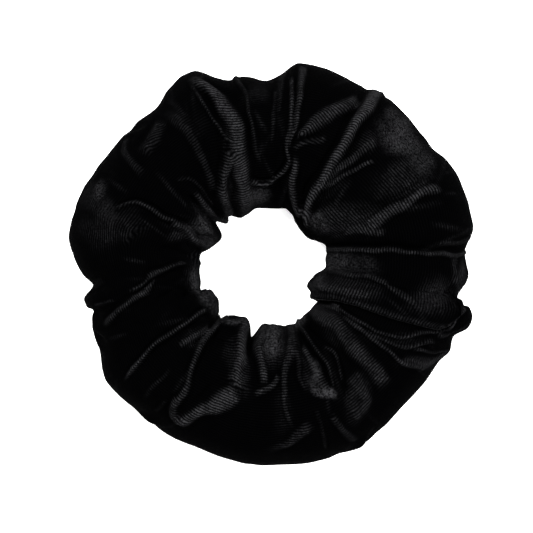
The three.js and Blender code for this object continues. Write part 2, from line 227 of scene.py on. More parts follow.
FOLDS = [
    # upper right, from the top round to the cuff
    ridge([(9.2, 55.4), (8.6, 52), (7.9, 47), (7, 41), (6.1, 36), (5.8, 31)], (1.15, 0.45), (1.6, 1.5), 0.6,
        ends=(0.8, 1)),
    ridge([(5.8, 52), (5.9, 46), (5.4, 39), (5, 32), (4.6, 26.4)], (0.42, 0.5), (1, 1.7), 0.65),
    crease([(7.2, 51), (6.8, 44), (5.9, 37)], 0.5, (1, 0.9)),
    ridge([(7, 29.6), (6.2, 23.6), (6, 18.5), (7.4, 14.8), (9.4, 13.4), (11, 9)], (1, 1.4), (1.3, 2.2),
        0.75),
    ridge([(25, 46.4), (18, 42), (12, 38.4), (7, 34.6)], (2, 1.3), (0.7, 1.1), 0.5, 0.9, sides=(0.1, 0.5)),
    ridge([(15, 35), (7, 31.2)], 0.8, (0.5, 0.8), 0.25),
    ridge([(34.6, 55.6), (31.2, 50), (28.6, 46.4), (24.6, 39.8), (20.2, 32.8), (16, 26), (12.4, 19.6),
        (10.6, 14.6), (10.8, 9)], (1.9, 1), (2.5, 2.4), 0.9, 0.7, sides=(0.5, 0.4), ends=(0.1, 1)),
    ridge([(30, 34.4), (23.2, 29.4), (17.2, 24.2), (13.8, 19.4)], (1.3, 0.8), (0.9, 1.4), 0.45, 0.7),
    crease([(30, 37.6), (25, 35), (20, 29.6)], (1.2, 0.9), (0.9, 0.6)),
    ridge([(29, 28.4), (22, 25.2), (15, 20.6)], 0.6, (0.7, 1.4), 0.5, 0.5),
    ridge([(26, 9.4), (30, 12.4), (36, 16.4), (42, 19.2), (47, 21.8)], (1.8, 1.2), (1.3, 1), 0.6, 0.7,
        sides=0.5),
    crease([(29, 16), (36, 19.4), (42, 22.8)], (1.2, 0.8), (0.9, 0.8)),
    crease([(13, 30), (11, 23), (8.2, 17)], (1.8, 1.2), (0.8, 2.4)),
    crease([(20, 19), (15, 14.6), (12.4, 9), (12.2, 5.6)], (1.2, 0.9), (0.4, 1.4)),
    # top and upper left
    ridge([(1.8, 49), (1, 41), (0.6, 33)], 0.6, (0.6, 0.5), 0.2),
    ridge([(3.8, 53.6), (3, 47), (2.4, 41)], (0.9, 0.6), (0.8, 0.4), 0.2),
    ridge([(-6, 22.6), (-2.6, 21.2), (0.6, 22.4), (3, 25), (5.2, 28.4)], (0.8, 0.7), (1.4, 1.6), 0.55,
        sides=(0.2, 0.7)),
    ridge([(-11.6, 60), (-9.6, 53), (-7.3, 46.8), (-5.2, 40), (-4.2, 34), (-3.2, 26)], 0.6, (1.2, 1.4),
        0.28),
    ridge([(-22.6, 52.6), (-18.4, 49.4), (-14.8, 46.6), (-11.4, 41.4), (-9.4, 36.4), (-8.6, 30.4),
        (-7.8, 24.4), (-6.8, 18), (-6.8, 8)], (2.1, 2.3), (2.4, 2.2), 0.8, 0.5, sides=(0.4, 0.6),
        ends=(1.3, 1)),
    ridge([(-22.6, 49.6), (-18, 43.6), (-14, 38), (-11, 32.6)], (0.45, 0.5), (1.1, 1.4), 0.35, 0.5),
    ridge([(-10.4, 31.4), (-12, 26.4), (-13, 21), (-11.8, 15.4), (-11.4, 9)], 1.2, (1, 2), 0.65, 0.5,
        sides=(0.7, 0.4)),
    crease([(-19.6, 48), (-15.4, 42.4), (-12.2, 37.4), (-10.6, 32)], 0.6, (1, 1.4)),
    crease([(-9.9, 30.4), (-10.4, 24), (-10.2, 17), (-10.2, 8)], (0.4, 0.5), (0.8, 1.8)),
    crease([(-5.6, 46), (-6.6, 36), (-6.2, 26)], (1.4, 1.2), (0.6, 1.2)),
    crease([(1.6, 31), (1.4, 25), (2.6, 20), (4, 13)], (2, 1.6), (0.8, 2.6)),
    # left
    ridge([(-35.4, 29.6), (-31.6, 35.6), (-28.6, 41)], (2, 1.8), (0.8, 0.6), 0.24, 0.4, sides=(0.3, 0.6),
        ends=(2, 3)),
    ridge([(-29, 43.4), (-21.4, 34), (-17.4, 25.6), (-15.4, 19.6)], (1.5, 1), (0.9, 1.2), 0.2),
    ridge([(-40.4, 35), (-39.4, 29.4), (-34.6, 23.8)], (1.1, 1), (0.8, 0.7), 0.2),
    ridge([(-25.6, 22.6), (-22.8, 23.4), (-19.8, 21.6), (-17.2, 18), (-15.4, 15.4)], 0.5, (0.6, 0.9), 0.18),
    ridge([(-20.6, 19.6), (-18.4, 16.2), (-15.4, 12.8), (-12.4, 11.6), (-9.6, 8)], (0.8, 0.9), (1.9, 2), 0.6,
        sides=(0.9, 0.2)),
    crease([(-19.4, 21), (-16.6, 16.6), (-13.4, 13.6), (-10, 12), (-9, 8)], (0.6, 0.7), (1.2, 2.2)),
    ridge([(-27.4, 11.4), (-23.4, 9.4), (-20.2, 6.6), (-16, 5)], (1, 0.9), (1.1, 1.8), 0.6,
        sides=(0.2, 0.8)),
    crease([(-26.4, 9.2), (-23.6, 6.8), (-20.6, 4.2), (-16, 3)], (0.5, 0.6), (1, 1.8)),
    ridge([(-42.6, 15), (-39.6, 16.4), (-36.4, 16.6), (-33, 15.2), (-29.4, 13.1), (-25, 11.3)], (0.55, 0.6),
        (1, 1.5), 0.5, sides=(0.3, 0.8)),
    crease([(-38, 14), (-32, 12.6), (-27, 10.4)], (1, 0.8), (0.7, 1.2)),
    crease([(-30, 5.4), (-25, 3), (-20, 2), (-14, 1.6)], (1.4, 1), (0.7, 2.6)),
    ridge([(-52, 21), (-44, 13), (-37, 6.8)], (3.8, 2.6), (0.9, 0.6), 0.18, 0.5),
    ridge([(-22.6, 0), (-28, -0.9), (-31.4, -2.6), (-34.6, -5.4), (-39, -7.8)], 0.6, (1.7, 1.2), 0.45, 0.5),
    crease([(-25.6, -1.2), (-22.6, -5), (-20.2, -8.6), (-16, -10)], 0.7, (0.8, 2.6)),
    ridge([(-31, -3.8), (-34.4, -7.9), (-37.4, -10.2), (-41.6, -12.9), (-46.4, -16.2)], (0.8, 1), (1.1, 1.2),
        0.45, 0.5, sides=(0.5, 0.3)),
    ridge([(-42.4, -9.8), (-48.6, -11.2)], 0.5, (0.8, 1), 0.2),
    ridge([(-45, -4.6), (-50.6, -7.6)], 1, (1, 1.6), 0.08),
    crease([(-44, -8.6), (-50, -6.2), (-55, -5.4)], 1, (0.6, 2.2)),
    crease([(-44, -11.6), (-50, -13.2), (-55, -14)], 1, (0.4, 2)),
    crease([(-32, -9), (-26, -7), (-21, -8.4), (-14, -7)], (1.6, 1), (0.6, 3.4)),
    # lower left
    ridge([(-17, -13), (-20.4, -14.4), (-25.9, -17.9), (-31.6, -22.3), (-36.6, -27.2), (-40.8, -32.8)], 0.55,
        (2.2, 1.4), 0.6, 0.4),
    ridge([(-16.4, -17.6), (-20.8, -20.1), (-25.4, -22.2)], (1.1, 0.8), (1.5, 0.8), 0.5, 0.4),
    ridge([(-27.4, -27.6), (-30.4, -32.2), (-34.8, -37.4)], 0.6, (0.7, 0.6), 0.15, ends=3),
    ridge([(-28.6, -37), (-31.6, -41)], 0.6, 0.5, 0.1),
    ridge([(-12.4, -12), (-14.6, -16), (-17.3, -20), (-19.6, -24.4), (-21.6, -29.4), (-23.2, -34.4),
        (-25.6, -38)], (0.65, 0.8), (2.3, 1.7), 0.55, ends=(1, 0.6)),
    ridge([(-24.6, -36.4), (-26.6, -39.6), (-25.4, -43), (-22.6, -44.6)], 1.1, (1.5, 1), 0.5),
    ridge([(-7.6, -35.4), (-15, -38.4), (-20.4, -40.6), (-25, -45.6)], (2.5, 1.2), (1.8, 1.1), 0.85,
        sides=(0.4, 0.2)),
    ridge([(-5.4, -9.6), (-7, -17), (-7.4, -23), (-8.8, -29), (-9.6, -35)], (1.1, 2.7), (2.3, 1.7), 0.7,
        0.4),
    ridge([(-13.6, -12), (-12.8, -15.6), (-10.2, -16.4), (-7.6, -16.4), (-5.4, -19.6)], 0.9, (1.4, 1.2),
        0.5),
    crease([(-17.4, -33), (-15.4, -26), (-12.4, -20)], (3.2, 2.6), (2.4, 2.2)),
    crease([(-16.4, -24), (-14.8, -18), (-14.2, -14.4), (-12, -8)], (0.8, 0.9), (0.8, 3.6)),
    crease([(-5.6, -34), (-5, -26), (-4.9, -19.6), (-3.6, -12)], 0.9, (1, 3.8)),
    # bottom
    ridge([(-2.2, -14), (-2.6, -20), (-2.4, -27), (-2, -33.4)], (1.2, 1), (1.8, 1.4), 0.6),
    ridge([(-4.8, -35.8), (0, -33.4), (2.8, -30.4)], 0.8, (1.4, 1.1), 0.6),
    ridge([(5.4, -14), (5.8, -20.6), (5.2, -27), (4.2, -33), (4.2, -38), (6.2, -46)], (1.2, 0.8), (2, 0.9),
        0.4),
    ridge([(6.6, -19.4), (7.2, -25.4), (8.6, -31), (9.6, -35.4)], (0.6, 0.5), (1.2, 0.8), 0.22),
    ridge([(12.4, -39.4), (14, -44.4), (14.8, -51.6)], 0.5, 0.7, 0.14, ends=(2, 1)),
    ridge([(-1.6, -52), (4.6, -49.8), (8.4, -46.4), (12, -43.6)], (1.3, 1.2), 0.9, 0.38, ends=(3, 1.5)),
    crease([(2.2, -30), (2.6, -24), (2, -18), (1.6, -12)], (1.2, 1), 1.2),
    crease([(10.6, -40), (8.6, -34), (7.4, -28)], (1.4, 1.1), (1, 1.4)),
    # lower right, up to the closure
    ridge([(7.2, -11), (8, -17.2), (11.4, -21.4), (14, -25.6), (16.6, -30.8), (18.2, -34.6)], (0.7, 0.5),
        (1.5, 1.2), 0.4),
    crease([(6, -12), (6.8, -17.6), (10.6, -22.4), (13.2, -27), (16, -32.4)], 0.5, (0.8, 2)),
    ridge([(14.6, -22), (17.4, -24), (19, -28), (20.6, -32.4)], 0.45, (0.8, 0.7), 0.3),
    ridge([(8.4, -22.6), (11.8, -29), (16.6, -36.6)], (0.9, 1.5), (0.9, 1.6), 0.45, ends=(1, 2)),
    ridge([(10.4, -7), (12.6, -12.4), (17.4, -16.4), (22.4, -22), (27.4, -28), (32.6, -34.4)], (1.9, 2.1),
        (2.2, 1.2), 0.42, 0.4),
    ridge([(22.6, -30.6), (26, -37), (22.8, -43)], (2, 1.6), (0.9, 0.8), 0.42),
    ridge([(16.6, -41), (20, -45.6), (24.4, -49)], (1, 0.8), (0.9, 0.8), 0.28, 0.5),
    ridge([(18.8, -13.8), (27, -20.2), (33, -24.6), (38, -27.2), (43.6, -30)], (0.6, 0.7), 1.3, 0.55),
    ridge([(40.4, -29), (45, -27.4), (50.2, -25)], (1.5, 0.9), (1.1, 1), 0.6),
    crease([(21, -46), (21.2, -38), (20, -29), (15, -21), (8.8, -15.6), (5.4, -10)], (0.8, 1), (0.8, 3.4)),
    crease([(30, -26.4), (24.4, -21.4), (18.6, -15.6)], (1.2, 1), (0.6, 1.2)),
]
# Folds of the plain end where it runs under the cuff: they fan out of the closure.
PLAIN_FOLDS = [
    ridge([(17.6, -11.4), (23.6, -15.8), (30, -18.8), (36, -19.8), (42, -19.4), (51, -17.8)], (0.6, 0.5),
        (1.5, 1.1), 0.45),
    ridge([(25, -18.2), (32, -21.4), (39, -22.4), (46, -21.4)], 0.6, (0.8, 1), 0.4),
    ridge([(39, -23.4), (45, -24.8), (51.4, -24.4)], 0.5, 0.9, 0.35),
    ridge([(12.6, -10), (15.6, -11), (19.8, -12.8)], (1.2, 0.9), (1.2, 1), 0.8, ends=(0.3, 1)),
    ridge([(49.4, -18.6), (52.4, -15.4), (55.4, -12.6)], 0.5, 1.2, 0.55),
    ridge([(46, -19.6), (50, -19.2), (55.4, -17.2)], 0.6, 0.9, 0.3),
]
# Folds of the cuff's side.
CUFF_FOLDS = [
    ridge([(13, 3.4), (18, 3.9), (25, 3.9), (31, 3.5), (38, 3.1), (44, 3), (50, 2.3), (55.4, 2.8),
        (63, 3.4)], (0.8, 0.6), (1.6, 1.3), 0.5, ends=(0.1, 1), sides=0.1),
    crease([(12, 5.2), (17, 5.4), (24, 5.4), (31, 5), (40, 4.6), (48, 4.2), (57, 4.8)], 0.7, (3.2, 1.8)),
    ridge([(19, 9.4), (26, 9.2), (32, 8.4)], (1.4, 1), (0.9, 0.5), 0.45),
    ridge([(46.4, 4.8), (51.6, 5.8), (57, 7.4)], 0.7, (0.7, 1.1), 0.3),
    ridge([(16.6, -2), (22, -2.8), (30, -4.6), (37, -9.4), (42, -14.4)], (0.9, 0.8), 0.9, 0.3),
    crease([(12.6, -1.2), (17, -1.4), (22, -1.8)], 0.8, (1.6, 0.5)),
    ridge([(10, -7), (14, -6.6), (20, -7.2), (29, -9.6)], (1.6, 1.2), (1.3, 0.6), 0.4),
    crease([(47, 0), (49, -5), (50, -11)], (1.4, 1.1), 0.6),
    ridge([(54.6, 2.6), (55.2, -1.6), (55, -4.2), (54.2, -6.6)], (0.6, 0.8), 0.6, 0.6, 0.9),
    ridge([(51.6, 2.6), (51.2, -3), (51, -9)], (1.2, 1), 0.4, 0.3),
]
# Painted sheen, with the pile lying smooth: patches that the base colour paints grey as if they caught the
# light: centre, half-sizes, turn in degrees, strength.
NAP_SHEEN_PATCHES = [
    (36.6, 35.6, 6.4, 4.8, -50, 0.68), (33.4, 40.6, 2.2, 3, 0, 0.5), (41, 28, 4.4, 3, -40, 0.42),
    (-47.4, 19.6, 2.6, 1.4, 70, 0.48), (-45, 15, 5, 3, -50, 0.2), (18.6, 0.6, 4.6, 2.8, 0, 0.85),
    (13.6, -5.4, 2, 2.6, -30, 0.6), (13.2, 11, 2.8, 2.6, 40, 0.8), (-17, -10.6, 2.2, 3.6, 10, 0.85),
    (-17.6, 9.4, 2.2, 5.4, 30, 0.8), (0.4, -20.4, 3, 3.4, 0, 0.75), (-10, -15.4, 3.6, 1, 0, 0.6),
    (15.3, -34.2, 1.4, 3, 36, 0.95), (11.8, -29.2, 1.1, 3.6, 33, 0.6), (-20.6, -3.8, 1.4, 4.4, 20, 0.7),
    (-22.6, 8.4, 3.6, 1.8, -40, 0.4), (-4.2, 18.6, 3.2, 2.6, 20, 0.75), (7, -15.6, 2.4, 3, 40, 0.7),
    (11, -12, 2.4, 1.4, 50, 0.5), (45, -9, 3.6, 3.4, 30, 0.25), (25, -0.6, 4, 2.4, 0, 0.35),
]
# Where the pile is open enough to show its ribs, painted lighter as sheen on the tilted cloth: centre,
# half-sizes, turn, strength.
RIBBED_SHEEN_PATCHES = [
    (36.5, 23.4, 8, 4.4, 30, 0.29), (20, 12.4, 8, 3.6, 15, 0.29), (22, -6.6, 8, 3.4, -10, 0.24),
    (45, -9, 5.6, 4.6, 20, 0.24), (54, -3, 1.6, 3.6, 0, 0.4), (-44, 10, 6.6, 4.4, 10, 0.21),
    (-23, 8.4, 4, 2.6, 30, 0.4), (-22, -1, 2, 5, 0, 0.24), (17, 22, 2.2, 6, -35, 0.1),
    (24, -37, 2.6, 5.4, -10, 0.26), (1, -22, 4, 5, 0, 0.29), (-8.6, -29, 2.8, 6, 5, 0.34),
    (-4, 47, 2.4, 3.6, 0, 0.13), (-20, 37, 3, 4, 20, 0.06), (10, -29, 1.6, 4, 30, 0.2),
    (-20.6, -20, 3.6, 1.6, 30, 0.2), (18, -17, 3, 5, 40, 0.19), (41.4, -27.4, 4.4, 1.7, 0, 0.44),
    (-6.4, 19, 3.4, 4, 0, 0.36), (-12.4, 20.6, 1.8, 5, 0, 0.26), (34, -20.6, 7, 1.6, -5, 0.13),
    (26, 33, 4, 2, 40, 0.2), (3.4, -40, 2, 6, 0, 0.11),
]


def fold_path(points):
    """A fold's points as (direction, distance round the section)."""
    path = open_curve(points, 5)
    angle = np.degrees(np.arctan2(path[:, 1], path[:, 0]))
    radius = np.hypot(path[:, 0], path[:, 1])
    inner, outer = hole_radius(angle), outer_radius(angle)
    share = (radius - inner) / (outer - inner)
    top = ROUND[:OUTERMOST + 1]
    along = np.interp(share, ACROSS[:OUTERMOST + 1], top)
    # A point drawn inside the hole lies down its wall, and one drawn outside lies down the outer side.
    along = np.where(share < 0, (radius - inner) * 1.5, along)
    along = np.where(share > 1, top[-1] + (radius - outer) * 1.5, along)
    return angle, along


def fold_field(folds, direction, along, radius):
    """What folds do to the cloth: (displacement, openness with its painted sheen along the crests, pull on
    the ribs, where the ribs go).
    """
    lift, opened_and_sheen, pull, place = np.zeros((4, *direction.shape))
    for fold in folds:
        angle, run = fold_path(fold["points"])
        angle = np.degrees(np.unwrap(np.radians(angle)))
        middle, half = (angle.max() + angle.min()) / 2, (angle.max() - angle.min()) / 2
        near = near_columns(direction, middle, half + 12 + 8 * max(fold["width"]))
        d, v, r = direction[near], along[near], radius[near]
        count = len(angle) - 1
        best, share, side, length = (np.full(d.shape, value) for value in (1e9, 0.0, 1.0, 0.0))
        total = 0.0
        for i in range(count):
            x = np.radians(turned(d, angle[i])) * r
            y = v - run[i]
            span, rise = np.radians(angle[i + 1] - angle[i]) * r, run[i + 1] - run[i]
            t = np.clip((x * span + y * rise) / (span ** 2 + rise ** 2 + 1e-9), 0, 1)
            distance = np.hypot(x - t * span, y - t * rise)
            nearer = distance < best
            piece = np.hypot(span, rise)
            best = np.where(nearer, distance, best)
            share = np.where(nearer, (i + t) / count, share)
            side = np.where(nearer, np.sign(span * y - rise * x), side)
            length = np.where(nearer, total + t * piece, length)
            total = total + piece
        width, height = (start + (end - start) * share for start, end in (fold["width"], fold["height"]))
        fade = smooth(share * 9 / fold["ends"][0]) * smooth((1 - share) * 9 / fold["ends"][1])
        height = height * fade
        x = best / width
        if fold["pinched"]:
            shape = np.exp(-x * x * (0.5 + 0.5 * x * x))
            left, right = fold["sides"]
            shape -= np.where(side > 0, left, right) * bell((x - 1.8) / 0.55)
        else:
            shape = np.exp(-x)
        lift[near] += height * shape
        # Painted sheen: the band along the crest that the base colour paints light grey.
        sheen_band = fold["open"] * np.exp(-(x / 0.95) ** 4) * fade
        opened_and_sheen[near] = np.maximum(opened_and_sheen[near], sheen_band)
        if fold["square"]:
            grip = fold["square"] * fade * bell(best / (1.8 * width))
            halfway = np.interp(0.5, np.linspace(0, 1, count + 1), run)
            phase = halfway + np.sign(run[-1] - run[0]) * (length - total / 2)
            pull[near] += grip
            place[near] += grip * np.clip(phase - v, -3, 3)
    return lift, opened_and_sheen, pull, place


def gathers(direction, along, radius):
    """The cloth's spare length at the elastic: many close pleats down the hole's wall and under the ring."""
    lift = np.zeros(direction.shape)
    below = np.where(along > GIRTH - 52, along - GIRTH, along)
    centres = np.arange(PLEATS) * 360 / PLEATS + uniform(-2.4, 2.4, PLEATS)
    for centre in centres:
        start = uniform(-46, -26)
        end = uniform(-8, -4)
        drift = uniform(-0.22, 0.22)
        width = uniform(0.7, 1.1)
        depth = uniform(1.9, 3.3)
        near = near_columns(direction, centre, 30)
        v = below[near]
        turn = turned(direction[near] - centre, drift * (v + 12))
        distance = np.abs(np.radians(turn) * radius[near])
        fade = smooth((v - start) / 14) * smooth((end + 3 - v) / 6)
        lift[near] -= depth * fade * np.exp(-distance / width)
    # The sewn seam holds the pleats down, and shows as a fine groove.
    at_seam = np.abs(below - SEAM_V)
    return lift * (1 - 0.6 * bell(at_seam / 2.2)) - 0.9 * np.exp(-at_seam / 0.5)


def outer_folds(direction, along, radius):
    """Loose folds that hang down the outer side and run in under the ring: (displacement, painted sheen on
    their raised crests).
    """
    lift, opened_and_sheen = np.zeros((2, *direction.shape))
    centres = np.arange(LOOSE_FOLDS) * 360 / LOOSE_FOLDS + uniform(-5, 5, LOOSE_FOLDS)
    for centre in centres:
        start = uniform(44, 62)
        end = min(start + uniform(14, 36), LOOSE_END)
        drift = uniform(-0.6, 0.6)
        width = uniform(1.2, 2.5)
        height = uniform(-1.9, 1.9)
        near = near_columns(direction, centre, 40)
        v = np.where(along[near] < -20, along[near] + GIRTH, along[near])
        turn = turned(direction[near] - centre, drift * (v - 50))
        fade = smooth((v - start) / 8) * smooth((end - v) / 8)
        x = np.abs(np.radians(turn) * radius[near]) / width
        shape = fade * (bell(x) - 0.25 * bell((x - 1.8) / 0.6))
        lift[near] += height * shape
        opened_and_sheen[near] = np.maximum(opened_and_sheen[near], 0.09 * max(height, 0) * shape)
    return lift, opened_and_sheen


def wrinkles(direction, along, radius):
    """Fine short creases all over, which run across the ribs: (displacement, painted sheen on the raised
    ones).
    """
    lift, opened_and_sheen = np.zeros((2, *direction.shape))
    for _ in range(WRINKLES):
        centre = uniform(-180, 180)
        v = uniform(-24, GIRTH - 24)
        reach = uniform(2.5, 9)
        lean = uniform(-0.45, 0.45)
        width = uniform(0.35, 0.8)
        height = uniform(-0.28, 0.30)
        near = near_columns(direction, centre, 40)
        rise = (along[near] - v + GIRTH / 2) % GIRTH - GIRTH / 2
        distance = np.radians(turned(direction[near], centre)) * radius[near] - lean * rise
        shape = np.clip(1 - (rise / reach) ** 2, 0, 1) * bell(distance / width)
        lift[near] += height * shape
        opened_and_sheen[near] = np.maximum(opened_and_sheen[near], max(height, 0) * 0.7 * shape)
    return lift, opened_and_sheen


def waves(direction, along, count, low, high, amplitude):
    """Soft irregular swells: a sum of seeded waves round the ring and across it."""
    total = np.zeros(direction.shape)
    for _ in range(count):
        turns = int(random.integers(low, high))
        across = int(random.integers(-2, 3))
        phase = uniform(0, 2 * math.pi)
        total += np.sin(np.radians(direction) * turns + along * across * 2 * math.pi / GIRTH + phase)
    return total * amplitude / math.sqrt(count)


def wander(radius, direction, amount):
    """A smooth uneven field over the plan, in millimetres either way."""
    x, y = in_plan(radius, direction)
    total = np.zeros(x.shape)
    for _ in range(DRIFTS):
        heading, length = uniform(0, 2 * math.pi), uniform(5, 16)
        run = (x * math.cos(heading) + y * math.sin(heading)) * 2 * math.pi / length
        total += np.sin(run + uniform(0, 2 * math.pi)) * length / 10
    return total * amount / math.sqrt(DRIFTS / 2)


def patches(spots, x, y, top):
    """How strongly a list of oval patches covers each point of the upper side."""
    cover = np.zeros(x.shape)
    for cx, cy, a, b, turn, strength in spots:
        c, s = math.cos(math.radians(turn)), math.sin(math.radians(turn))
        u = ((x - cx) * c + (y - cy) * s) / a
        v = ((y - cy) * c - (x - cx) * s) / b
        cover = np.maximum(cover, strength * np.exp(-(u * u + v * v) ** 1.8 * 0.7))
    return cover * top


# ------ the CAD part's ring
OUTER_R, HOLE_R, HOLE_X, HOLE_Y = 57.5, 15.6, 1.4, -1.3
OUTER_LOBES, OUTER_LOBE, HOLE_LOBES, HOLE_LOBE = 12, 0.7, 10, 0.6
MID_Z = 11
LOOP_R, BRAID_W, BRAID_T, LAP_RISE = 23, 6, 1, 2.6
LAP_START, LAP_END, LAP_RAMP = -35, -11, -4
SEAM_R, SEAM_Z = 27.3, 3.2
THREAD_R, FINE_THREAD_R = 0.3, 0.24
CLOTH_TO_BRAID = 0.7  # least distance from the hole's wall to the braid


def on_ring(direction, radius, height):
    """The CAD part's rule: moves a point of a round ring to where the gathered ring has it."""
    angle = np.radians(direction)
    share = (radius - HOLE_R) / (OUTER_R - HOLE_R)
    inner = (1 - share) * np.abs(1 - share) * HOLE_LOBE * np.sin(HOLE_LOBES * angle)
    outer = share * np.abs(share) * OUTER_LOBE * np.sin(OUTER_LOBES * angle)
    grown = radius + inner + outer
    x = grown * np.cos(angle) + (1 - share) * HOLE_X
    y = grown * np.sin(angle) + (1 - share) * HOLE_Y
    return np.stack([x, y, height + 0 * x], axis=-1)


braid_radius = radius_by_direction(*on_ring(np.arange(0, 360, 0.5), LOOP_R - BRAID_T / 2, MID_Z)[:, :2].T)


# ------ the sleeve's surface
def edge_directions():
    """Direction of the cuff's folded edge at each point round the section."""
    (over, over_turn), (under, under_turn) = np.array(EDGE_TOP).T, np.array(EDGE_UNDER).T
    at = np.interp(over, ACROSS[:OUTERMOST + 1], ROUND[:OUTERMOST + 1])
    below = np.interp(under, ACROSS[OUTERMOST:][::-1], ROUND[OUTERMOST:][::-1])
    return np.interp(ROUND, [*at, *below], [*over_turn, *under_turn], period=GIRTH)


def columns():
    """Unwrapped directions of the columns, clockwise from the tucked tip to the cuff's edge."""
    stops = [TUCK_TIP, EDGE_ANGLE, *DIRECTIONS, EDGE_ANGLE - 360]
    stops = sorted(set(round(s, 6) for s in stops), reverse=True)
    marks = [stops[0]]
    for a, b in zip(stops, stops[1:]):
        n = max(1, round((a - b) / STEP_ALONG))
        marks += [a + (b - a) * (i + 1) / n for i in range(n)]
    return np.array(marks)


def slope_round(grid):
    """How a grid changes from point to point the second way, in which it is closed."""
    return np.gradient(np.concatenate([grid[:, -1:], grid, grid[:, :1]], axis=1), axis=1)[:, 1:-1]


def steady(edge):
    """An outline with its lobes smoothed away, as a function of the direction."""
    window = np.hanning(61)
    radius = np.convolve(np.tile(edge(np.arange(360)), 3), window / window.sum(), mode="same")[360:720]
    return lambda degrees: np.interp(degrees % 360, np.arange(360), radius, period=360)


def sleeve_surface():
    """The whole sleeve with its hem, as a grid of columns x round."""
    marks = columns()
    hem_turn = np.linspace(0, math.pi, HEM_ROLL_COLUMNS + 1)[1:]
    hem_back = np.linspace(0, HEM_BACK, HEM_BACK_COLUMNS + 1)[1:]
    beyond = np.concatenate([np.zeros(len(marks)), HEM_ROLL * np.sin(hem_turn), -hem_back])
    deeper = HEM_ROLL * (1 - np.cos(hem_turn))
    inset = np.concatenate([np.zeros(len(marks)), deeper, np.full(len(hem_back), 2 * HEM_ROLL)])
    unwrapped = np.concatenate([marks, np.full(len(hem_turn) + len(hem_back), marks[-1])])
    at_cuff = smooth((EDGE_ANGLE - 360 + EDGE_SHEAR - unwrapped) / EDGE_SHEAR)
    plain = (unwrapped > PLAIN_UNTIL)[:, None]

    edge = edge_directions()[None, :]
    d = unwrapped[:, None] + 0 * ACROSS[None, :]
    # Columns swing from radial to the line of the cuff's edge as they come to it.
    swung = d + at_cuff[:, None] * (edge - EDGE_ANGLE)
    bent = swung
    for _ in range(3):
        # The fold of the hem keeps to the outline at the cuff's edge.
        look = np.where(beyond[:, None] > 0, swung, bent)
        inner, outer = hole_radius(look), outer_radius(look)
        radius = inner + (outer - inner) * ACROSS[None, :]
        bent = swung - np.degrees(beyond[:, None] / radius)
    height = HEIGHT[None, :] + 0 * d
    # How far each point lies past the cuff's edge, on the cuff's side of it.
    past = np.radians(turned(bent, edge)) * radius

    along = np.where(ROUND > UNDER, ROUND - GIRTH, ROUND)[None, :] + 0 * d
    # The drawn folds wander a little, so that none runs quite straight or keeps quite the same width.
    seen = bent + np.degrees(wander(radius, bent, 0.3) / radius)
    seen_along = along + wander(radius, bent, 0.25)
    lift, opened_and_sheen, pull, place = np.zeros((4, *d.shape))
    on_plain, on_cuff = plain & (past > -70), ~plain & (past < 70)
    for folds, where in ((FOLDS, True), (PLAIN_FOLDS, on_plain), (CUFF_FOLDS, on_cuff)):
        more, more_sheen, more_pull, more_place = fold_field(folds, seen, seen_along, radius)
        lift += np.where(where, more, 0)
        opened_and_sheen = np.maximum(opened_and_sheen, np.where(where, more_sheen, 0))
        pull += np.where(where, more_pull, 0)
        place += np.where(where, more_place, 0)
    calm = 1 - 0.75 * smooth((14 - np.abs(past - 5)) / 8)
    lift += gathers(bent, along, radius) * calm
    hanging, hanging_sheen = outer_folds(bent, along, radius)
    at_rim = bell((ROUND - ROUND[OUTERMOST]) / 5)[None, :]
    wrinkle, wrinkle_sheen = wrinkles(bent, along, radius)
    lift += wrinkle * (0.4 + 0.6 * calm)
    opened_and_sheen = np.maximum(opened_and_sheen, wrinkle_sheen)
    lift += waves(bent, along, 9, 5, 14, 0.5) * smooth(ACROSS / 0.6)[None, :]
    lift += waves(bent, along, 9, 16, 38, 0.22)

    # Under the cuff's edge the plain end draws in, and inside the cuff it lies clear of the hem.
    outward = 1 - 0.55 * smooth((ACROSS - 0.9) / 0.08)[None, :]
    under = np.where(plain, smooth((past + 0.5) / 2.5), 0)
    dip = np.where(plain, smooth((past + DIP_REACH) / DIP_REACH), 0) * outward
    drawn_in = np.maximum(DRAWN_IN * dip, TUCK_INSET * under) + inset[:, None]
    lifted = np.where(plain, 0, smooth(1 - np.abs(past - 3) / 11)) * (1 - at_rim)
    drawn_in = drawn_in - CUFF_LIFT * lifted + 0.5 * np.where(plain, 0, bell(past / 2)) * at_rim

    # Normals of the plain section, in its own plane.
    across, up = slope_round(radius), slope_round(height)
    size = np.hypot(across, up)
    out, rise = -up / size, across / size
    # The drawn outline already has the lobes, so folds swell it less where the cloth stands upright.
    lift = np.where(lift > 0, HIGHEST_FOLD * np.tanh(lift / HIGHEST_FOLD), lift)
    lift = lift * (1 - 0.75 * np.abs(out) ** 3)
    lift = (lift + hanging * calm * (1 - 0.8 * at_rim)) * (1 - 0.8 * under) - drawn_in
    radius = radius + out * lift
    height = height + rise * lift
    # Down the hole's wall the cloth stays clear of the braid inside it, and on the table it lies flat.
    limit = braid_radius(bent) - CLOTH_TO_BRAID
    held = limit - 0.4 * np.logaddexp(0, (limit - radius) / 0.4)
    beside = smooth((height - BRAID_LOW) / 1.6) * smooth((BRAID_HIGH - height) / 1.6) * (np.abs(along) < 16)
    radius = radius + beside * (held - radius)
    rested = REST_SOFTNESS * np.logaddexp(0, height / REST_SOFTNESS) - 0.05
    height = np.where(height < 2.5, np.maximum(rested, 0.02), height)

    x, y = in_plan(radius, bent)
    # The painted sheen fades down the outer side, a painted shade where the cloth turns away from the lamps
    # overhead; the smooth patches fade sooner.
    outer_half = (ROUND > OUTER_FROM)[None, :]
    top = np.where(outer_half, smooth((height - 1.5) / 9), smooth((height - 6) / 5))
    top = top * (ROUND < LIGHT_TO)[None, :]
    nap_top = np.where(outer_half, smooth((height - 8) / 6), top)
